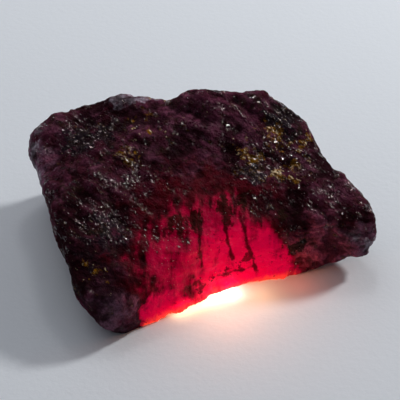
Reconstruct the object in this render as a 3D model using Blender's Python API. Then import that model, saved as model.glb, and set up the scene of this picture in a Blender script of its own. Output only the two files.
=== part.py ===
# A rough ruby: one natural piece of corundum, broken along flat faces and then worn.
#
# Lengths are in metres, Z is up, and the stone lies on the flat break under it, at Z = 0.
# X runs along its greatest length and Y towards its thick back edge. The origin is at the
# middle of its bounding box in plan, on the surface that it lies on.

import math

import bpy
import bmesh
from mathutils import Matrix, Vector, noise

MM = 0.001

# Driving dimensions
LENGTH = 30.0 * MM  # along X, from the blunt left end to the right tip
DEPTH = 22.4 * MM  # along Y
THICKNESS = 10.2 * MM  # at the crest of the back edge
SPARE = 3.0 * MM  # extra size of the block that the breaks are cut from

GRAIN = 0.62 * MM  # side of the surface's small quads
WEAR_PASSES = 3  # smoothing passes that round the broken edges
WEAR = 0.5

# Every break is a flat face of the stone: the compass bearing of its outward normal
# (0 is +X, 90 is +Y), how far that normal rises above level, both in degrees, and one
# point in millimetres that the face passes through. The front is re-entrant, so the
# stone is the union of a heel on the left and a tip on the right.
BREAKS = {
    "left_wall": (194, -12, (-13.1, -1.5, 5.0)),
    "left_shoulder": (174, 40, (-14.8, 3.6, 6.1)),
    "left_back_corner": (138, 10, (-15.0, 10.1, 5.8)),
    "back_left_wall": (97, 8, (-9.0, 11.3, 6.5)),
    "back_right_wall": (86, 6, (2.5, 9.8, 7.0)),
    "right_back_wall": (32, 8, (10.5, 5.6, 7.0)),
    "right_back_corner": (57, 14, (8.1, 8.6, 8.0)),
    "right_tip": (-4, -4, (15.3, -2.0, 4.0)),
    "right_end_underside": (2, -73, (8.8, -3.0, 0.0)),
    "left_underside": (201, -48, (-12.2, -1.5, 1.3)),
    "back_underside": (96, -50, (-3.0, 10.3, 1.2)),
    "right_back_underside": (36, -42, (10.2, 4.6, 1.6)),
    "back_scar": (112, -16, (-8.6, 10.7, 3.6)),
    "top_left": (185, 73, (-2.0, 9.0, 9.9)),
    "top_right": (-75, 70, (1.0, 9.6, 9.9)),
    "top_right_end": (-20, 66, (12.5, -1.0, 6.3)),
}
HEEL_BREAKS = {
    "front_left_wall": (-57, 23, (-2.3, -8.9, 0.2)),
    "front_left_end": (-84, 22, (-7.1, -11.8, 0.2)),
    "front_left_corner": (222, -16, (-10.0, -10.2, 3.6)),
}
TIP_BREAKS = {
    "front_wall": (-80, 20, (7.0, -4.4, 0.2)),
    "right_tip_front": (-48, -10, (14.8, -3.7, 3.0)),
}

# Lumps stand proud of a face and hollows are sunk into it, as (centre, radius, height),
# all in millimetres.
LUMPS = {
    "back_left_hump": ((-7.8, 10.8, 8.2), 2.4, 0.95),
    "back_middle_hump": ((1.2, 9.9, 9.8), 2.6, 0.55),
    "back_right_hump": ((5.4, 9.9, 9.0), 1.7, 0.6),
    "right_shoulder": ((8.8, 8.4, 7.8), 2.0, 0.4),
    "left_point": ((-15.0, 6.2, 5.6), 2.0, 0.5),
    "left_back_knob": ((-14.2, 9.6, 6.0), 2.6, 0.9),
    "right_tip_swell": ((14.0, -3.4, 3.0), 2.4, 0.6),
    "tip_shoulder": ((14.4, 0.2, 4.8), 1.7, 0.6),
    "front_left_heel": ((-8.6, -10.8, 1.6), 2.2, 0.5),
    "ridge_knuckle": ((-6.2, -8.0, 7.0), 1.8, 0.4),
    "front_swell": ((5.8, -3.6, 2.6), 2.4, 0.35),
}
HOLLOWS = {
    "back_left_dip": ((-3.4, 9.6, 9.4), 1.7, 0.55),
    "back_right_dip": ((3.5, 10.0, 9.3), 1.0, 0.4),
    "eye_pit": ((-8.5, -8.3, 6.4), 1.2, 0.6),
    "left_slab_hollow": ((-5.8, 0.9, 8.2), 1.6, 0.4),
    "left_rim_groove": ((-13.0, 4.8, 6.2), 1.4, 0.45),
    "right_slab_hollow": ((6.4, 3.2, 7.0), 2.2, 0.3),
    "right_back_notch": ((11.7, 3.9, 5.8), 2.0, 0.5),
    "front_wall_scoop": ((0.6, -6.2, 2.8), 2.0, 0.35),
}

# The stone parts along one set of parallel planes, which step its surface into ledges.
PARTING = (0.39, 0.42, 0.82)  # normal of those planes
LEDGE_SPACING = 2.1  # mm between planes
LEDGE_HEIGHT = 0.4  # mm
LEDGE_FALL = 0.68  # share of a ledge's width that is its long gentle side

# Growth layers show as fine level ridges on the walls.
LAYER_SPACING = 1.5  # mm
LAYER_HEIGHT = 0.16  # mm

# Weathering roughens every face at two sizes: (wavelength, height) in millimetres.
COARSE = (4.6, 0.4)
FINE = (2.1, 0.16)

BASE_ROUGHNESS = 0.35  # share of the relief that the flat break underneath carries
SEAT_CUT = 0.22 * MM  # worn base that the flat resting facet replaces
SOFTENING = 0.3  # how far the last wear pass draws each point towards its neighbours


def clear_scene():
    for old in list(bpy.data.objects):
        bpy.data.objects.remove(old, do_unlink=True)


def direction(bearing, rise):
    """Unit vector from a compass bearing and a rise above level, in degrees."""
    turn = math.radians(bearing)
    lift = math.radians(rise)
    return Vector((math.cos(turn) * math.cos(lift), math.sin(turn) * math.cos(lift), math.sin(lift)))


def smooth_step(low, high, value):
    """0 below low, 1 above high, and a soft ramp between them."""
    t = min(max((value - low) / (high - low), 0.0), 1.0)
    return t * t * (3.0 - 2.0 * t)


def broken_block(breaks):
    """A box a little over the stone's size, cut back to each of the breaks in turn."""
    block = bmesh.new()
    bmesh.ops.create_cube(block, size=1.0)
    size = Matrix.Diagonal((LENGTH + SPARE, DEPTH + SPARE, THICKNESS + SPARE, 1.0))
    raised = Matrix.Translation((0.0, 0.0, (THICKNESS + SPARE) / 2))
    bmesh.ops.transform(block, matrix=raised @ size, verts=block.verts)
    for bearing, rise, point in breaks.values():
        everything = block.verts[:] + block.edges[:] + block.faces[:]
        cut = bmesh.ops.bisect_plane(
            block,
            geom=everything,
            plane_co=Vector(point) * MM,
            plane_no=direction(bearing, rise),
            clear_outer=True,
        )
        rim = [edge for edge in cut["geom_cut"] if isinstance(edge, bmesh.types.BMEdge)]
        if rim:
            bmesh.ops.contextual_create(block, geom=rim)
    bmesh.ops.recalc_face_normals(block, faces=block.faces)
    mesh = bpy.data.meshes.new("broken_block")
    block.to_mesh(mesh)
    block.free()
    return mesh


def even_mesh():
    """The surface of heel and tip together as small even quads, with worn edges."""
    both = bmesh.new()
    both.from_mesh(broken_block(BREAKS | HEEL_BREAKS))
    both.from_mesh(broken_block(BREAKS | TIP_BREAKS))
    mesh = bpy.data.meshes.new("broken_blocks")
    both.to_mesh(mesh)
    both.free()
    rough = bpy.data.objects.new("broken_blocks", mesh)
    bpy.context.scene.collection.objects.link(rough)
    remesh = rough.modifiers.new("Even grain", "REMESH")
    remesh.mode = "VOXEL"
    remesh.voxel_size = GRAIN
    smooth = rough.modifiers.new("Worn edges", "SMOOTH")
    smooth.factor = WEAR
    smooth.iterations = WEAR_PASSES
    graph = bpy.context.evaluated_depsgraph_get()
    worn = bpy.data.meshes.new_from_object(rough.evaluated_get(graph))
    bpy.data.objects.remove(rough, do_unlink=True)
    return worn


def swell(point, table, sign):
    """Height added by the rounded lumps, or taken by the hollows, at a point in millimetres."""
    total = 0.0
    for centre, radius, height in table.values():
        gap = (point - Vector(centre)).length / radius
        total += sign * height * math.exp(-gap * gap)
    return total


def ledges(point, normal):
    """Height of the stepped ledges where the parting planes meet the surface."""
    bend = 0.8 * noise.noise(point * 0.16) + 0.25 * noise.noise(point * 0.5)
    across = point.dot(Vector(PARTING).normalized()) / LEDGE_SPACING + bend
    phase = across - math.floor(across)
    if phase < LEDGE_FALL:
        level = 0.5 - phase / LEDGE_FALL
    else:
        level = (phase - LEDGE_FALL) / (1.0 - LEDGE_FALL) - 0.5
    patchy = 0.55 + 0.75 * noise.noise(point * 0.22 + Vector((7.0, 3.0, 1.0)))
    facing_up = smooth_step(0.1, 0.75, normal.z)
    return LEDGE_HEIGHT * level * patchy * (0.25 + 0.75 * facing_up)


def layers(point, normal):
    """Height of the growth layers on the walls."""
    wander = 0.9 * noise.noise(point * 0.2 + Vector((2.0, 9.0, 4.0)))
    wave = math.sin(2.0 * math.pi * (point.z / LAYER_SPACING + 0.04 * point.x + wander))
    patchy = 0.45 + 0.9 * noise.noise(point * 0.3 + Vector((5.0, 1.0, 8.0)))
    on_walls = 1.0 - smooth_step(0.35, 0.75, abs(normal.z))
    return LAYER_HEIGHT * wave * patchy * on_walls


def weathering(point):
    """Height of the uneven weathered skin."""
    total = 0.0
    for wavelength, height in (COARSE, FINE):
        total += height * noise.noise(point / wavelength + Vector((0.0, 0.0, wavelength)))
    return total


def shape_surface(mesh):
    """Move every point of the surface out or in by the relief at that point."""
    moved = []
    for vertex in mesh.vertices:
        point = vertex.co / MM
        normal = vertex.normal
        height = swell(point, LUMPS, 1.0) + swell(point, HOLLOWS, -1.0)
        height += ledges(point, normal) + layers(point, normal) + weathering(point)
        height *= 1.0 - (1.0 - BASE_ROUGHNESS) * smooth_step(0.6, 0.95, -normal.z)
        moved.append((point + normal * height) * MM)
    for vertex, place in zip(mesh.vertices, moved):
        vertex.co = place
    surface = bmesh.new()
    surface.from_mesh(mesh)
    axes = {"use_axis_x": True, "use_axis_y": True, "use_axis_z": True}
    bmesh.ops.smooth_vert(surface, verts=surface.verts, factor=SOFTENING, **axes)
    surface.to_mesh(mesh)
    surface.free()


def settle(mesh):
    """Bring the stone to its overall size, on its flat resting facet and centred in plan."""
    for vertex in mesh.vertices:
        vertex.co.z = max(vertex.co.z - SEAT_CUT, 0.0)
    for axis, size in enumerate((LENGTH, DEPTH, THICKNESS)):
        low = min(vertex.co[axis] for vertex in mesh.vertices)
        high = max(vertex.co[axis] for vertex in mesh.vertices)
        start = 0.0 if axis == 2 else -size / 2
        for vertex in mesh.vertices:
            vertex.co[axis] = start + (vertex.co[axis] - low) * size / (high - low)


def ruby_material():
    material = bpy.data.materials.new("ruby")
    material.use_nodes = True
    shader = material.node_tree.nodes["Principled BSDF"]
    shader.inputs["Base Color"].default_value = (0.12, 0.02, 0.06, 1.0)
    shader.inputs["Roughness"].default_value = 0.38
    shader.inputs["IOR"].default_value = 1.77
    return material


def build_ruby():
    mesh = even_mesh()
    shape_surface(mesh)
    settle(mesh)
    mesh.name = "rough_ruby"
    mesh.materials.clear()
    mesh.materials.append(ruby_material())
    stone = bpy.data.objects.new("rough_ruby", mesh)
    bpy.context.scene.collection.objects.link(stone)
    return stone


clear_scene()
build_ruby()
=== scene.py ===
import math
from functools import reduce
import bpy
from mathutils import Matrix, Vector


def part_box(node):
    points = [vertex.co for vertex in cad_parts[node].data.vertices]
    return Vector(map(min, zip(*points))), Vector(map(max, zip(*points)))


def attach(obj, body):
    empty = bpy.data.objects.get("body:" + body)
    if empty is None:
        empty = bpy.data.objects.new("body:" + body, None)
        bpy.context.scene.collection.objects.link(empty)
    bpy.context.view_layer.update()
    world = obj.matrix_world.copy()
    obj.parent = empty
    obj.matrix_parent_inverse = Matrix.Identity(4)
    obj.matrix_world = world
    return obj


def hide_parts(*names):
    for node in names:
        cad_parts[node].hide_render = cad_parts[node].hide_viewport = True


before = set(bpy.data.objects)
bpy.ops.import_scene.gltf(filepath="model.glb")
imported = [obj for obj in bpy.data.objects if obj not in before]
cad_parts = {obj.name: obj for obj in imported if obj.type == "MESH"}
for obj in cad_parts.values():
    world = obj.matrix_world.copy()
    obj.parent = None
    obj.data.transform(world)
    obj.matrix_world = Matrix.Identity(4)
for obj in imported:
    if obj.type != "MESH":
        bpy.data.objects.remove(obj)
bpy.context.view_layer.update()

from types import SimpleNamespace

import bpy
from mathutils import Vector, noise

# A rough ruby on a pale table. Lengths are metres unless a name or a note says
# millimetres, and Z is up.
mm = 0.001

view = {
    "aimMm": (0.0, 0.0, 5.4),  # the point in the middle of the picture
    "distance": 0.170,
    "elevation": 40.0,  # degrees above the table
    "lens": 180.6,
    "sensor": 36.0,
    "nearest": 0.005,  # the camera sees from here
    "farthest": 20.0,  # to here
}


def makeCamera():
    lift = math.radians(view["elevation"])
    away = Vector((0.0, -math.cos(lift), math.sin(lift)))
    aim = Vector(view["aimMm"]) * mm
    data = bpy.data.cameras.new("camera")
    data.lens = view["lens"]
    data.sensor_width = view["sensor"]
    data.clip_start = view["nearest"]
    data.clip_end = view["farthest"]
    camera = bpy.data.objects.new("camera", data)
    bpy.context.scene.collection.objects.link(camera)
    camera.location = aim + away * view["distance"]
    camera.rotation_euler = (-away).to_track_quat("-Z", "Y").to_euler()
    bpy.context.scene.camera = camera
    print("camera placed")


class Signal:
    # one value, colour or vector on its way through the nodes

    def __init__(self, tree, socket):
        self.tree = tree
        self.socket = socket

    def math(self, operation, *values):
        node = self.tree.nodes.new("ShaderNodeMath")
        node.operation = operation
        for place, value in zip(node.inputs, values):
            if isinstance(value, Signal):
                self.tree.links.new(value.socket, place)
            else:
                place.default_value = value
        return Signal(self.tree, node.outputs[0])

    def __add__(self, other):
        return self.math("ADD", self, other)

    def __radd__(self, other):
        return self.math("ADD", other, self)

    def __sub__(self, other):
        return self.math("SUBTRACT", self, other)

    def __rsub__(self, other):
        return self.math("SUBTRACT", other, self)

    def __mul__(self, other):
        return self.math("MULTIPLY", self, other)

    def __rmul__(self, other):
        return self.math("MULTIPLY", other, self)


def highest(a, b):
    return a.math("MAXIMUM", a, b)


def magnitude(a):
    return a.math("ABSOLUTE", a)


class Nodes:
    # adds nodes to the tree of a material or of the world

    def __init__(self, tree):
        self.tree = tree
        self.tree.nodes.clear()

    def node(self, kind, settings, values):
        # the settings come first, because some of them change the inputs
        node = self.tree.nodes.new(kind)
        for name, setting in settings.items():
            setattr(node, name, setting)
        for name, value in values.items():
            place = node.inputs[name]
            if isinstance(value, Signal):
                self.tree.links.new(value.socket, place)
            elif place.type == "RGBA":
                place.default_value = (*value, 1.0)
            else:
                place.default_value = value
        return node

    def signal(self, node, output):
        return Signal(self.tree, node.outputs[output])

    def vector(self, operation, *values, output="Vector"):
        node = self.node("ShaderNodeVectorMath", {"operation": operation}, dict(enumerate(values)))
        return self.signal(node, output)

    def scaled(self, vector, factor):
        node = self.node("ShaderNodeVectorMath", {"operation": "SCALE"}, {0: vector, "Scale": factor})
        return self.signal(node, "Vector")

    def ramp(self, value, low, high, slope="SMOOTHSTEP"):
        # 0 below low, 1 above high and a slope between
        values = {"Value": value, "From Min": low, "From Max": high}
        return self.signal(self.node("ShaderNodeMapRange", {"interpolation_type": slope}, values), "Result")

    def mix(self, factor, first, second):
        # the colour sockets go by number, because they share their names with others
        values = {0: factor, 6: first, 7: second}
        return self.signal(self.node("ShaderNodeMix", {"data_type": "RGBA"}, values), 2)


class Finish(Nodes):
    # one material and the short ways of making its patterns

    def __init__(self, name):
        self.material = bpy.data.materials.new(name)
        self.material.use_nodes = True
        super().__init__(self.material.node_tree)
        place = self.signal(self.node("ShaderNodeTexCoord", {}, {}), "Object")
        self.place = self.scaled(place, 1.0 / mm)  # position in millimetres
        self.stirred = self.place

    def along(self, direction):
        # distance in millimetres along a direction
        return self.vector("DOT_PRODUCT", self.place, direction, output="Value")

    def turned(self, angles, scale):
        # the position turned and stretched, for a pattern with a grain
        values = {"Vector": self.place, "Rotation": angles, "Scale": scale}
        return self.signal(self.node("ShaderNodeMapping", {"vector_type": "TEXTURE"}, values), "Vector")

    def cloud(self, width, detail, rough, seed, vector=None, output="Fac"):
        # soft noise from 0 to 1 in blobs about so many millimetres wide
        node = self.node(
            "ShaderNodeTexNoise",
            {"noise_dimensions": "4D"},
            {
                "Vector": vector or self.place,
                "W": seed,
                "Scale": 1.0 / width,
                "Detail": detail,
                "Roughness": rough,
            },
        )
        return self.signal(node, output)

    def leaning(self, colour, amount):
        # a random colour made a random shift either way
        return self.scaled(self.vector("SUBTRACT", colour, (0.5, 0.5, 0.5)), amount)

    def stir(self, width, amount, detail, seed):
        # lets the blobs made after this wander by up to about a fifth of the amount
        colour = self.cloud(width, detail, 0.6, seed, output="Color")
        self.stirred = self.vector("ADD", self.place, self.leaning(colour, amount))

    def blob(self, centre, radii):
        # 1 in the middle of an ellipsoid, 0 on its surface and outside it
        inside = self.vector("DIVIDE", self.vector("SUBTRACT", self.stirred, centre), radii)
        return highest(1.0 - self.vector("LENGTH", inside, output="Value"), 0.0)

    def cells(self, width, vector):
        # a random colour in each cell
        values = {"Vector": vector, "Scale": 1.0 / width}
        return self.signal(self.node("ShaderNodeTexVoronoi", {"feature": "F1"}, values), "Color")

    def attribute(self, name):
        return self.signal(self.node("ShaderNodeAttribute", {"attribute_name": name}, {}), "Fac")

    def bump(self, height, distance, strength):
        values = {"Height": height, "Distance": distance, "Strength": strength}
        return self.signal(self.node("ShaderNodeBump", {}, values), "Normal")

    def tilted(self, normal, colour, amount):
        # the normal leaning a random way in each cell, for flat crystal faces
        return self.vector("NORMALIZE", self.vector("ADD", normal, self.leaning(colour, amount)))

    def shader(self, values):
        return self.signal(self.node("ShaderNodeBsdfPrincipled", {}, values), "BSDF")

    def between(self, factor, first, second):
        # one shader where the factor is 0 and the other where it is 1
        return self.signal(self.node("ShaderNodeMixShader", {}, {0: factor, 1: first, 2: second}), "Shader")

    def finished(self, results):
        self.node("ShaderNodeOutputMaterial", {}, results)
        return self.material


stone = {
    "grainMm": 0.14,  # side of the fine mesh's quads
    "wearPasses": 12,  # smoothing passes that take off the solid's facets
    "parting": (0.44, 0.37, 0.82),  # normal of the planes that the stone parts along
    "ledgesMm": ((1.25, 0.16), (0.47, 0.07)),  # spacing and height of coarse and fine ledges
    "ledgeFall": 0.72,  # share of each ledge that slopes, before it breaks to the next
    "layersMm": (0.55, 0.05),  # spacing and height of the growth layers' ridges
    "windowMm": (-5.5, 7.8, -1.5),  # left, right and back limit of the clear window
    "windowLayers": 0.25,  # share of the ridges' height that is left there
    "lumpsMm": ((3.1, 0.22), (1.5, 0.18)),  # wavelength and height of the skin's lumps
    "grainReliefMm": (0.62, 0.10),  # wavelength and height of its grain
    "pitMm": (0.8, 0.16),  # width and depth of its pits
    "underShare": 0.2,  # share of the relief that is left on the underside
    "flatMm": 0.05,  # what comes out lower than this lies on the table
    "raisedPerMm": 1.6,  # how fast the attribute changes that paints shade into hollows and light onto heights
    "smoothAngle": 40.0,
}

# small features listed one by one: centre, radius and height in millimetres
marks = [
    ((-8.4, -8.4, 6.6), 0.75, -0.30),
    ((-7.5, -9.0, 5.9), 0.45, -0.16),
    ((-6.1, 0.6, 8.1), 0.80, -0.22),
    ((7.9, -2.6, 4.6), 0.70, -0.22),
    ((-13.0, 8.4, 7.2), 2.0, 0.34),
    ((-11.8, -6.4, 3.0), 3.2, -0.38),
]


def deselectAll():
    if bpy.context.object and bpy.context.object.mode != "OBJECT":
        bpy.ops.object.mode_set(mode="OBJECT")
    bpy.ops.object.select_all(action="DESELECT")


def activate(piece):
    deselectAll()
    piece.select_set(True)
    bpy.context.view_layer.objects.active = piece


def applyModifier(piece, name, kind, **settings):
    modifier = piece.modifiers.new(name, kind)
    for key, value in settings.items():
        setattr(modifier, key, value)
    activate(piece)
    bpy.ops.object.modifier_apply(modifier=modifier.name)


def clamped(value, low, high):
    return min(max(value, low), high)


def ease(low, high, value):
    t = clamped((value - low) / (high - low), 0.0, 1.0)
    return t * t * (3.0 - 2.0 * t)


def wave(point, frequency, shift=(0.0, 0.0, 0.0)):
    # smooth noise from about -1 to 1, moved along by the shift so that no two are alike
    return noise.noise(point * frequency + Vector(shift))


def ledgeRelief(point, normal):
    # broken steps where the parting planes come out: height, and how near the step's lip
    height = 0.0
    lip = 0.0
    fall = stone["ledgeFall"]
    patch = ease(-0.25, 0.35, wave(point, 0.21, (7.0, 3.0, 1.0)))
    upward = 0.25 + 0.75 * ease(0.05, 0.6, normal.z)
    across = point.dot(Vector(stone["parting"]).normalized())
    for spacing, rise in stone["ledgesMm"]:
        bend = 0.9 * wave(point, 0.17) + 0.30 * noise.noise(point * 0.62 / spacing)
        bend += 0.14 * noise.noise(point * 1.7 / spacing)
        along = across / spacing + bend
        step = math.floor(along)
        phase = along - step
        level = 0.5 - phase / fall if phase < fall else (phase - fall) / (1.0 - fall) - 0.5
        own = 0.5 + 0.9 * noise.noise(point * 0.4 / spacing + Vector((step * 3.7, 0.0, step * 1.9)))
        strength = max(own, 0.0) * (0.3 + 0.7 * patch) * upward
        height += rise * level * strength
        lip = max(lip, ease(0.1, 0.5, level) * strength)
    return height, lip


def layerRelief(point, normal):
    # fine level ridges of the growth layers, on the walls
    spacing, height = stone["layersMm"]
    left, right, back = stone["windowMm"]
    wander = 0.8 * wave(point, 0.22, (2.0, 9.0, 4.0)) + 0.2 * wave(point, 0.9)
    ridge = math.sin(2.0 * math.pi * (point.z / spacing + 0.12 * point.x + wander))
    walls = 1.0 - ease(0.35, 0.75, abs(normal.z))
    if left < point.x < right and point.y < back:
        walls *= stone["windowLayers"]
    patch = ease(-0.3, 0.3, wave(point, 0.3, (5.0, 1.0, 8.0)))
    return height * ridge * walls * patch


def skinRelief(point):
    # lumps, grain and pits of the weathered skin
    grainWidth, grainHeight = stone["grainReliefMm"]
    pitWidth, pitDepth = stone["pitMm"]
    total = sum(height * noise.noise(point / across) for across, height in stone["lumpsMm"])
    total += grainHeight * noise.noise(point / grainWidth + Vector((4.0, 0.0, 2.0)))
    total += 0.55 * grainHeight * noise.noise(point / (0.52 * grainWidth))
    toPit = noise.voronoi(point / (2.2 * pitWidth))[0][0]
    pitted = ease(0.0, 0.35, wave(point, 0.4, (1.0, 6.0, 3.0)))
    total -= pitDepth * pitted * (1.0 - ease(0.0, 0.42, toPit))
    return total


def markRelief(point):
    total = 0.0
    for centre, radius, rise in marks:
        gap = (point - Vector(centre)).length / radius
        if gap < 2.5:  # farther out there is nothing left of it
            total += rise * math.exp(-gap * gap)
    return total


def copySolid():
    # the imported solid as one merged, fine mesh with its facets worn off
    piece = bpy.data.objects.new("ruby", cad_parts["rough_ruby"].data.copy())
    bpy.context.scene.collection.objects.link(piece)
    activate(piece)
    bpy.ops.object.mode_set(mode="EDIT")
    bpy.ops.mesh.select_all(action="SELECT")
    bpy.ops.mesh.remove_doubles(threshold=1e-6)
    bpy.ops.mesh.normals_make_consistent(inside=False)
    bpy.ops.object.mode_set(mode="OBJECT")
    applyModifier(piece, "fineGrain", "REMESH", mode="VOXEL", voxel_size=stone["grainMm"] * mm)
    applyModifier(piece, "wornFacets", "SMOOTH", factor=0.5, iterations=stone["wearPasses"])
    print("stone remeshed:", len(piece.data.polygons), "quads")
    return piece


def makeStone():
    piece = copySolid()
    mesh = piece.data
    low, high = (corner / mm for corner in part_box("rough_ruby"))
    lips = []
    raised = []
    places = []
    for vertex in mesh.vertices:
        point = vertex.co / mm
        normal = vertex.normal
        height, lip = ledgeRelief(point, normal)
        height += layerRelief(point, normal) + skinRelief(point)
        height += markRelief(point)
        lips.append(lip)
        raised.append(clamped(0.5 + stone["raisedPerMm"] * height, 0.0, 1.0))
        height *= 1.0 - (1.0 - stone["underShare"]) * ease(0.7, 0.97, -normal.z)
        moved = point + normal * height
        moved = Vector(clamped(moved[i], low[i], high[i]) for i in range(3))
        if moved.z < stone["flatMm"]:
            moved.z = low.z
        places.append(moved * mm)
    for vertex, place in zip(mesh.vertices, places):
        vertex.co = place
    for name, values in (("lip", lips), ("raised", raised)):
        mesh.attributes.new(name, "FLOAT", "POINT").data.foreach_set("value", values)
    mesh.update()
    activate(piece)
    bpy.ops.object.shade_smooth_by_angle(angle=math.radians(stone["smoothAngle"]))
    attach(piece, "root")
    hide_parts("rough_ruby")
    print("stone carved")
    return piece


ruby = {
    # colours of the skin
    "plum": (0.040, 0.0048, 0.0100),
    "mauve": (0.090, 0.0195, 0.041),
    "wine": (0.080, 0.0010, 0.0050),
    "rose": (0.26, 0.052, 0.100),
    # painted rim sheen: a pale grey put on the edges where the back light catches them
    "rimSheen": (0.33, 0.27, 0.32),
    # partly the pale lavender of the growth layers, partly painted light: rim sheen at the top back and
    # left edge, and a lighter tone on the dimly lit tip wall and heel
    "lavenderAndSheen": (0.185, 0.082, 0.130),
    "night": (0.0085, 0.0080, 0.0115),
    # painted shade: a dark colour put into the hollows of the relief
    "paintedShade": (0.0110, 0.0018, 0.0036),
    "olive": (0.026, 0.018, 0.006),
    "gold": (0.165, 0.066, 0.003),
    # painted glints: highlights of the crystal faces put into the base colour
    "glint": (0.58, 0.47, 0.48),
    # painted highlights: cream glints near the golden stains
    "goldGlint": (0.62, 0.47, 0.28),
    # colours of the clear crystal and of what lies in it
    # the clear crystal's red; its brightest part is laid where the painted glow is strongest
    "gem": (0.46, 0.0006, 0.034),
    "gemDark": (0.13, 0.0005, 0.007),
    "inclusion": (0.006, 0.009, 0.007),
    "crack": (0.085, 0.0015, 0.008),
    "blot": (0.018, 0.007, 0.003),
    # painted glow: emission standing in for the light that comes through the crystal from below, brighter
    # at its bottom edge
    "glow": (0.30, 0.0, 0.026),
    "ember": (0.85, 0.075, 0.025),
    "glowStrength": 1.0,  # 0 puts the painted glow in the crystal out
    # reflections and light inside
    "ior": 1.77,  # corundum
    "skinRough": 0.78,
    "skinGloss": 0.01,
    "reliefDepth": 0.00016,
    "faceTint": (1.0, 0.80, 0.78),
    "faceRough": 0.09,
    "faceGloss": 0.46,
    "gemTint": (1.0, 0.05, 0.15),
    "gemRough": 0.6,
    "gemGloss": 0.02,
    "transmission": 0.3,
    "scatter": 0.8,
    "scatterReach": (1.0, 0.05, 0.15),
    "scatterDepth": 0.004,
    "absorb": (0.86, 0.01, 0.12),
    "absorbDensity": 1800.0,
    # the grain that follows the ledges, and the crystal faces in it
    "ledgeTurn": -0.86,  # heading of the ledges, in radians from +X
    "ledgeStretch": 2.6,
    "faceMm": 0.14,
    "faceStretch": 1.6,
    "faceTilt": 1.35,
    "crackMm": 0.11,  # half the width of a crack where it is neither wide nor narrow
}

# where the skin's colours gather: middle and reach of each patch in millimetres
patches = {
    "night": [
        ((-9.6, 5.6, 7.4), (3.4, 2.6, 3.0)),
        ((7.0, 6.9, 8.4), (2.8, 2.0, 2.4)),
        ((-8.0, -3.4, 5.8), (2.8, 2.2, 2.4)),
        ((5.6, 2.4, 6.6), (2.6, 1.6, 2.0)),
        ((-8.2, -6.6, 5.2), (3.0, 2.2, 2.4)),
    ],
    "gold": [
        ((-4.8, 5.5, 8.6), (1.5, 1.8, 2.0)),
        ((-6.2, 2.9, 8.0), (1.5, 1.6, 2.0)),
        ((6.3, 5.7, 7.9), (1.8, 1.3, 2.0)),
        ((8.4, 4.7, 7.1), (1.5, 1.2, 2.0)),
        ((4.3, 3.8, 7.3), (1.6, 1.1, 2.0)),
        ((7.2, 2.4, 6.4), (2.4, 1.2, 2.0)),
        ((-3.4, 9.8, 9.0), (1.2, 1.2, 1.6)),
        ((-8.9, -8.2, 4.8), (0.9, 0.9, 1.2)),
    ],
    "mauve": [
        ((-1.5, 7.5, 9.2), (7.0, 4.5, 3.5)),
        ((1.5, 5.5, 8.0), (5.0, 4.0, 3.5)),
        ((-7.0, -9.8, 3.0), (5.5, 4.5, 5.0)),
    ],
    # tip wall and heel painted lighter than their light makes them; top back and left edge carry painted
    # rim sheen
    "lavenderAndSheen": [
        ((12.6, -3.2, 2.2), (5.4, 2.8, 3.6)),
        ((-7.6, -11.9, 1.4), (4.4, 3.2, 4.2)),
        ((-5.4, 9.4, 9.0), (2.4, 1.4, 1.4)),
        ((-14.2, 4.0, 5.4), (1.8, 5.5, 3.0)),
    ],
    "wine": [
        ((0.5, -2.0, 5.6), (9.5, 7.0, 4.5)),
        ((-4.5, -6.5, 4.0), (4.0, 4.5, 4.0)),
    ],
    "rose": [
        ((9.8, -3.2, 2.2), (4.6, 3.0, 4.0)),
    ],
    # painted rim sheen along the top back, the left edge and the tip's end
    "rimSheen": [
        ((-5.6, 9.8, 9.2), (3.0, 1.8, 1.6)),
        ((-14.8, 4.6, 5.4), (1.2, 5.0, 2.2)),
        ((14.8, -1.8, 2.4), (1.8, 1.8, 1.6)),
    ],
    "smooth": [
        ((-7.4, -9.8, 3.4), (5.0, 4.4, 5.0)),
        ((12.6, -3.2, 2.2), (5.0, 2.4, 3.2)),
        ((0.0, 3.0, 7.4), (4.5, 4.0, 3.0)),
    ],
    # where the crystal faces and the painted glints gather
    "sparkles": [
        ((-2.4, -4.6, 5.2), (3.2, 2.6, 2.6)),
        ((-9.8, 5.6, 7.4), (3.6, 3.4, 3.0)),
        ((-5.6, 0.4, 7.2), (2.6, 3.0, 3.0)),
        ((-8.0, -3.2, 5.8), (3.0, 2.4, 3.0)),
        ((6.6, 3.4, 6.8), (4.0, 3.0, 2.8)),
        ((10.2, 0.2, 5.6), (2.4, 1.4, 2.0)),
        ((-3.6, -5.0, 5.0), (2.8, 2.4, 2.4)),
    ],
    "blots": [
        ((-2.0, -3.3, 5.8), (1.0, 1.1, 1.0)),
        ((-0.4, -2.9, 5.6), (0.7, 1.5, 1.2)),
        ((1.9, -1.2, 6.1), (0.6, 1.6, 1.2)),
        ((2.3, -2.2, 5.7), (0.6, 1.4, 1.1)),
        ((3.6, -1.0, 6.0), (0.5, 1.4, 1.0)),
        ((6.8, -1.4, 5.0), (0.8, 1.1, 0.8)),
    ],
}

# the clear window, where the painted glow shows: middle and reach of each part in
# millimetres, its brightness, and how near the middle that is reached
window = {
    "core": ((3.8, -4.8, 1.6), (6.8, 6.8, 6.2), 1.15, 0.62),
    "left": ((-1.8, -5.6, 3.2), (7.2, 6.8, 7.4), 0.50, 0.95),
    "corner": ((-2.6, -8.7, 0.5), (3.4, 2.6, 2.4), 1.0, 0.50),
    "above": ((1.4, -2.2, 5.4), (7.6, 5.6, 4.4), 0.44, 1.0),
}

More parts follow.
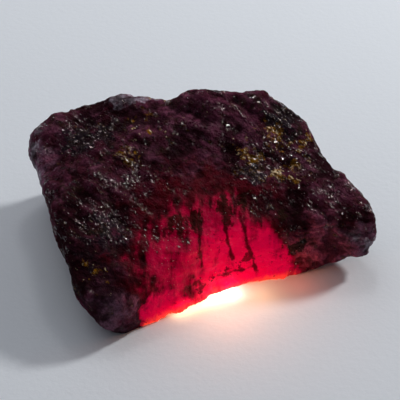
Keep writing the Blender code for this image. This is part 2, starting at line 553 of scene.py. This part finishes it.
# cracks in the clear window: a plane's normal, its distance, and the middle and reach
# of the part of it that shows, all in millimetres
cracks = {
    "left": ((1.0, 0.0, 0.02), 0.1, (0.0, -3.9, 4.8), (1.6, 2.8, 2.4)),
    "middle": ((1.0, 0.0, 0.20), 3.18, (2.2, -2.0, 4.4), (2.0, 4.6, 3.8)),
    "right": ((1.0, 0.0, 0.27), 4.98, (4.0, -3.2, 3.4), (2.2, 4.0, 3.4)),
    "cross": ((-0.06, 0.0, 1.0), 1.40, (3.1, -4.7, 1.6), (1.6, 2.4, 1.4)),
}

# dark specks along the cracks, and the blackish inclusion: middle and radius or reach
specks = [
    ((-0.1, -6.3, 1.5), 0.62),
    ((0.9, -5.8, 1.3), 0.42),
    ((2.3, -4.9, 1.6), 0.42),
    ((4.1, -4.1, 2.4), 0.55),
    ((-0.6, -4.6, 3.6), 0.60),
    ((3.4, -4.4, 2.0), 0.35),
]
inclusion = ((8.0, -2.9, 3.2), (0.95, 1.5, 1.7))


def nearest(f, name):
    # how near a point is to the closest patch of a kind, from 0 outside them all to 1
    return reduce(highest, [f.blob(middle, reach) for middle, reach in patches[name]])


def stoneClouds(f):
    # the patterns that several colours share; each cloud has its width in millimetres,
    # its detail, its roughness and its own seed
    c = SimpleNamespace()
    c.lip = f.attribute("lip")
    c.raised = f.attribute("raised")
    c.ledgeGrain = f.turned((0.0, 0.0, ruby["ledgeTurn"]), (ruby["ledgeStretch"], 1.0, 1.0))
    c.broad = f.cloud(2.6, 3.0, 0.6, 1.0)
    c.mottled = f.cloud(1.1, 5.0, 0.65, 3.0)
    c.fine = f.cloud(0.5, 4.0, 0.65, 2.0)
    c.streaks = f.cloud(0.6, 4.0, 0.65, 5.0, c.ledgeGrain)
    c.layers = f.cloud(0.75, 3.0, 0.6, 17.0, f.turned((0.1, 0.12, 0.0), (4.0, 2.5, 0.6)))
    return c


def skinColour(f, c):
    # from plum to mauve, with blue-black, wine, olive and golden patches, and painted light and shade:
    # paler heights, darker hollows and a pale rim sheen
    f.stir(1.6, 9.0, 5.0, 30.0)
    # random mottling and mauve patches, with painted light: higher relief is painted paler
    pale = c.mottled + 0.25 * nearest(f, "mauve") + 0.42 * (c.raised - 0.5)
    skin = f.mix(f.ramp(pale, 0.40, 0.74), ruby["plum"], ruby["mauve"])
    # pale growth layers, with painted rim sheen and painted light on the dim walls
    lavenderAndSheen = f.ramp(nearest(f, "lavenderAndSheen") + 1.3 * (c.layers - 0.5), -0.05, 0.60)
    skin = f.mix(lavenderAndSheen, skin, ruby["lavenderAndSheen"])
    # painted rim sheen on the edges
    rimSheen = f.ramp(nearest(f, "rimSheen") + 0.5 * (c.fine - 0.5), 0.10, 0.60)
    skin = f.mix(rimSheen, skin, ruby["rimSheen"])
    rose = f.ramp(nearest(f, "rose") + 1.2 * (c.layers - 0.5), 0.02, 0.50)
    skin = f.mix(0.85 * rose, skin, ruby["rose"])
    wine = f.ramp(nearest(f, "wine") + 0.8 * (c.mottled - 0.5), 0.06, 0.50)
    skin = f.mix(0.9 * wine, skin, ruby["wine"])
    night = c.streaks + 0.5 * (c.broad - 0.5) + 0.30 * nearest(f, "night")
    skin = f.mix(0.85 * f.ramp(night, 0.52, 0.74), skin, ruby["night"])
    olive = f.ramp(f.cloud(0.9, 4.0, 0.6, 4.0), 0.50, 0.68) * (1.0 - 0.6 * wine)
    skin = f.mix(0.6 * olive, skin, ruby["olive"])
    # painted shade: the hollows of the relief darkened
    paintedShade = f.ramp(0.52 - c.raised + 0.5 * (c.fine - 0.5), -0.03, 0.20)
    skin = f.mix(0.75 * paintedShade, skin, ruby["paintedShade"])
    grain = f.ramp(f.cloud(0.22, 3.0, 0.7, 14.0), 0.36, 0.64)
    golden = nearest(f, "gold")
    stain = f.ramp(c.streaks + 0.42 * golden + 0.5 * (c.fine - 0.5), 0.62, 0.82)
    skin = f.mix(stain, skin, f.scaled(ruby["gold"], 0.4 + 0.9 * grain))
    return f.scaled(skin, 0.72 + 0.56 * grain), golden


def windowLight(f, c):
    # how strong the painted red glow is, which also marks where the crystal is clear: 0 where the skin is
    # closed, 1 in the core
    f.stir(1.7, 5.5, 5.0, 40.0)
    parts = []
    for middle, reach, brightness, full in window.values():
        parts.append(brightness * f.ramp(f.blob(middle, reach), 0.0, full))
    light = reduce(highest, parts)
    veil = f.cloud(0.55, 4.0, 0.6, 6.0, f.turned((0.25, 0.0, 0.0), (1.0, 4.0, 4.0)))
    patchy = 2.2 * (veil - 0.5) + 1.5 * (c.mottled - 0.5) + 0.9 * (c.layers - 0.5)
    wall = 1.0 - f.ramp(f.along((1.0, 0.0, 0.9)) + 3.4 * (c.mottled - 0.5), 8.8, 11.2)
    return (light + patchy * (0.25 + 0.75 * light) * f.ramp(light, 0.0, 0.3)) * wall


def crackMask(f):
    # thin lines where the cracks' planes come out, with a ragged width
    wander = f.cloud(1.6, 2.0, 0.5, 20.0)
    width = ruby["crackMm"] + 0.75 * (f.cloud(0.8, 3.0, 0.6, 21.0) - 0.47)
    lines = []
    for normal, distance, middle, reach in cracks.values():
        gap = magnitude(f.along(normal) - distance + 0.7 * (wander - 0.5))
        lines.append(f.ramp(width - gap, -0.08, 0.10) * f.ramp(f.blob(middle, reach), 0.0, 0.2))
    return reduce(highest, lines)


def darkMarks(f, c):
    # the blackish inclusion, the cracks with their specks, and the olive blots
    spot = f.ramp(f.blob(*inclusion) + 1.2 * (c.fine - 0.5), 0.10, 0.40)
    dark = [crackMask(f)]
    f.stir(0.5, 2.6, 4.0, 50.0)
    for middle, radius in specks:
        dark.append(0.9 * f.ramp(f.blob(middle, (radius, radius, radius)), 0.0, 0.4))
    dark.append(0.6 * f.ramp(f.cloud(0.42, 3.0, 0.7, 12.0), 0.60, 0.72))
    blot = f.ramp(nearest(f, "blots") + 0.9 * (c.fine - 0.5), 0.08, 0.42)
    return spot, reduce(highest, dark), blot


def rubyFinish():
    f = Finish("ruby")
    c = stoneClouds(f)
    skin, golden = skinColour(f, c)

    # red crystal where the skin thins out, its red brighter where the painted glow is stronger: partly its
    # own colour, partly painted light
    light = windowLight(f, c)
    clear = f.ramp(light, 0.0, 0.40)
    # how strong the painted glow is at each place, which also brightens the red
    depth = f.ramp(light, 0.12, 1.05)
    gem = f.mix(f.ramp(light, 0.10, 0.45), ruby["wine"], ruby["gemDark"])
    gem = f.mix(depth, gem, ruby["gem"])
    colour = f.mix(clear, skin, gem)
    spot, crack, blot = darkMarks(f, c)
    colour = f.mix(0.9 * spot, colour, ruby["inclusion"])
    colour = f.mix(crack * (0.6 + 0.4 * clear), colour, ruby["crack"])
    colour = f.mix(0.75 * blot, colour, ruby["blot"])

    # crystal faces where the ledges break, and painted glints: pale flecks in the base colour that stand in
    # for their brightest flashes
    f.stir(1.2, 6.0, 4.0, 60.0)
    broken = nearest(f, "sparkles")
    smooth = f.ramp(nearest(f, "smooth"), 0.0, 0.5)
    facets = f.ramp(c.streaks + 0.13 * broken + 0.18 * c.lip, 0.545, 0.64) * (1.0 - 0.6 * depth)
    facets = facets * (1.0 - 0.8 * smooth) * (1.0 - 0.5 * clear) * (1.0 - blot)
    # painted glints: a mask of small pale flecks along the ledges
    sparkles = f.cloud(0.15, 2.0, 0.5, 8.0, c.ledgeGrain) + 0.10 * broken + 0.03 * c.lip
    glints = f.ramp(sparkles - 0.1 * smooth, 0.71, 0.76) * (1.0 - 0.7 * depth)
    colour = f.mix(glints, colour, ruby["glint"])
    # painted cream glints, more of them near the golden stains
    creamGlints = f.cloud(0.20, 3.0, 0.6, 15.0, c.ledgeGrain) + 0.20 * golden
    colour = f.mix(f.ramp(creamGlints, 0.67, 0.77) * (1.0 - clear), colour, ruby["goldGlint"])

    # fine relief, and a flat tilt for each crystal face
    relief = c.fine + 0.7 * f.cloud(0.28, 3.0, 0.6, 10.0, c.ledgeGrain)
    relief = relief + 0.5 * f.cloud(0.2, 3.0, 0.6, 9.0)
    normal = f.bump(relief, ruby["reliefDepth"], 1.0)
    faceGrain = f.turned((0.0, 0.0, ruby["ledgeTurn"]), (ruby["faceStretch"], 1.0, 1.0))
    faceNormal = f.tilted(normal, f.cells(ruby["faceMm"], faceGrain), ruby["faceTilt"])

    # painted glow: emission standing in for light from inside, brightest along the bottom edge
    shine = clear * (1.0 - spot) * (1.0 - glints) * (1.0 - 0.7 * crack) * (1.0 - 0.75 * blot)
    edge = f.ramp(0.8 * (c.fine - 0.5) - f.along((0.0, 0.0, 1.0)), -0.7, 0.1) * depth
    lit = shine * (0.28 * clear + 0.72 * depth)
    glow = f.mix(lit, (0.0, 0.0, 0.0), f.mix(edge, ruby["glow"], ruby["ember"]))

    skinShader = f.shader({
        "Base Color": colour,
        "Roughness": ruby["skinRough"] + 0.3 * (c.mottled - 0.5),
        "IOR": ruby["ior"],
        "Specular IOR Level": ruby["skinGloss"],
        "Normal": normal,
    })
    faceShader = f.shader({
        "Base Color": colour,
        "Roughness": ruby["faceRough"],
        "IOR": ruby["ior"],
        "Specular IOR Level": ruby["faceGloss"],
        "Specular Tint": ruby["faceTint"],
        "Normal": faceNormal,
    })
    gemShader = f.shader({
        "Base Color": colour,
        "Roughness": ruby["gemRough"],
        "IOR": ruby["ior"],
        "Specular IOR Level": ruby["gemGloss"],
        "Specular Tint": ruby["gemTint"],
        "Normal": normal,
        "Transmission Weight": ruby["transmission"],
        "Subsurface Weight": ruby["scatter"],
        "Subsurface Radius": ruby["scatterReach"],
        "Subsurface Scale": ruby["scatterDepth"],
        "Emission Color": glow,
        "Emission Strength": ruby["glowStrength"],
    })
    surface = f.between(shine, f.between(facets, skinShader, faceShader), gemShader)
    inside = {"Color": ruby["absorb"], "Density": ruby["absorbDensity"]}
    volume = f.signal(f.node("ShaderNodeVolumeAbsorption", {}, inside), "Volume")
    print("stone finished")
    return f.finished({"Surface": surface, "Volume": volume})


studio = {
    "table": (0.79, 0.825, 0.87),
    "tableRough": 0.9,
    "tableSize": 4.0,
    "paperGrainMm": 0.5,
    "paperDepth": 0.00003,
    # the soft light of the room, from its dim side to the bright one behind the stone
    "skyTowards": (-0.5, 0.87, 0.0),  # heading of the bright side
    "skyFront": (0.055, 0.056, 0.061),
    "skyBack": (0.39, 0.40, 0.44),
    "skySlope": (-0.5, 0.9),  # where along the heading it starts and ends to brighten
    # each lamp: place and aim in millimetres, size in metres, power in watts, colour, gloss
    "lamps": {
        "keyRight": ((174.0, 146.0, 131.0), (0.0, 0.0, 4.0), 0.035, 0.42, (1.0, 1.0, 0.99), True),
        "keyBack": ((16.0, 181.0, 188.0), (0.0, 0.0, 4.0), 0.04, 0.05, (1.0, 1.0, 1.0), True),
        "softBack": ((-79.0, 197.0, 154.0), (0.0, 0.0, 4.0), 0.24, 0.17, (0.96, 0.98, 1.0), False),
    },
    # the light under the front edge: place in millimetres, size in metres, power, colour
    "glows": {
        "core": ((2.6, -5.8, 0.7), 0.0006, 0.00013, (1.0, 0.90, 0.72)),
        "coreLeft": ((1.2, -6.5, 0.6), 0.0006, 0.00005, (1.0, 0.84, 0.60)),
        "coreRight": ((5.0, -6.0, 1.7), 0.0014, 0.00014, (1.0, 0.58, 0.28)),
        "right": ((8.4, -4.8, 2.0), 0.0010, 0.00006, (1.0, 0.13, 0.04)),
        "halo": ((2.2, -8.6, 3.8), 0.0015, 0.00044, (1.0, 0.34, 0.14)),
    },
    # the strip of light along the front edge: place in millimetres, heading in degrees,
    # size in millimetres, power, colour
    "strip": ((-0.3, -7.4, 0.8), 29.0, (4.4, 0.6), 0.00006, (1.0, 0.60, 0.32)),
}


def makeTable():
    deselectAll()
    bpy.ops.mesh.primitive_plane_add(size=studio["tableSize"], location=(0.0, 0.0, 0.0))
    table = bpy.context.active_object
    table.name = "table"
    f = Finish("paper")
    weave = f.cloud(studio["paperGrainMm"], 4.0, 0.6, 0.0)
    paper = f.shader({
        "Base Color": studio["table"],
        "Roughness": studio["tableRough"],
        "Normal": f.bump(weave, studio["paperDepth"], 0.8),
    })
    table.data.materials.append(f.finished({"Surface": paper}))
    print("table laid")


def makeSky():
    world = bpy.data.worlds.new("studio")
    world.use_nodes = True
    sky = Nodes(world.node_tree)
    direction = sky.signal(sky.node("ShaderNodeTexCoord", {}, {}), "Generated")
    across = sky.vector("DOT_PRODUCT", direction, studio["skyTowards"], output="Value")
    low, high = studio["skySlope"]
    colour = sky.mix(sky.ramp(across, low, high, "LINEAR"), studio["skyFront"], studio["skyBack"])
    light = sky.signal(sky.node("ShaderNodeBackground", {}, {"Color": colour}), "Background")
    sky.node("ShaderNodeOutputWorld", {}, {"Surface": light})
    world.cycles_visibility.glossy = False  # the stone's faces flash in the lamps only
    bpy.context.scene.world = world
    bpy.context.scene.view_settings.view_transform = "Standard"
    print("sky set")


def addLight(name, kind, fromMm, power, colour):
    data = bpy.data.lights.new(name, kind)
    data.energy = power
    data.color = colour
    light = bpy.data.objects.new(name, data)
    bpy.context.scene.collection.objects.link(light)
    light.location = Vector(fromMm) * mm
    return light


def makeLamp(name, fromMm, toMm, size, power, colour, gloss):
    lamp = addLight(name, "AREA", fromMm, power, colour)
    lamp.data.shape = "DISK"
    lamp.data.size = size
    aim = Vector(toMm) * mm - lamp.location
    lamp.rotation_euler = aim.to_track_quat("-Z", "Y").to_euler()
    lamp.visible_glossy = gloss


def makeGlow(name, fromMm, size, power, colour):
    glow = addLight(name, "POINT", fromMm, power, colour)
    glow.data.shadow_soft_size = size
    glow.visible_camera = False
    glow.visible_glossy = False


def makeStrip(name, fromMm, heading, sizeMm, power, colour):
    strip = addLight(name, "AREA", fromMm, power, colour)
    strip.data.shape = "RECTANGLE"
    strip.data.size = sizeMm[0] * mm
    strip.data.size_y = sizeMm[1] * mm
    strip.rotation_euler = (0.0, 0.0, math.radians(heading))
    strip.visible_camera = False
    strip.visible_glossy = False


def makeLights():
    for name, facts in studio["lamps"].items():
        makeLamp(name, *facts)
    for name, facts in studio["glows"].items():
        makeGlow(name, *facts)
    makeStrip("strip", *studio["strip"])
    print("lights set")


makeCamera()
makeTable()
makeSky()
makeLights()
rubyStone = makeStone()
rubyStone.data.materials.clear()
rubyStone.data.materials.append(rubyFinish())
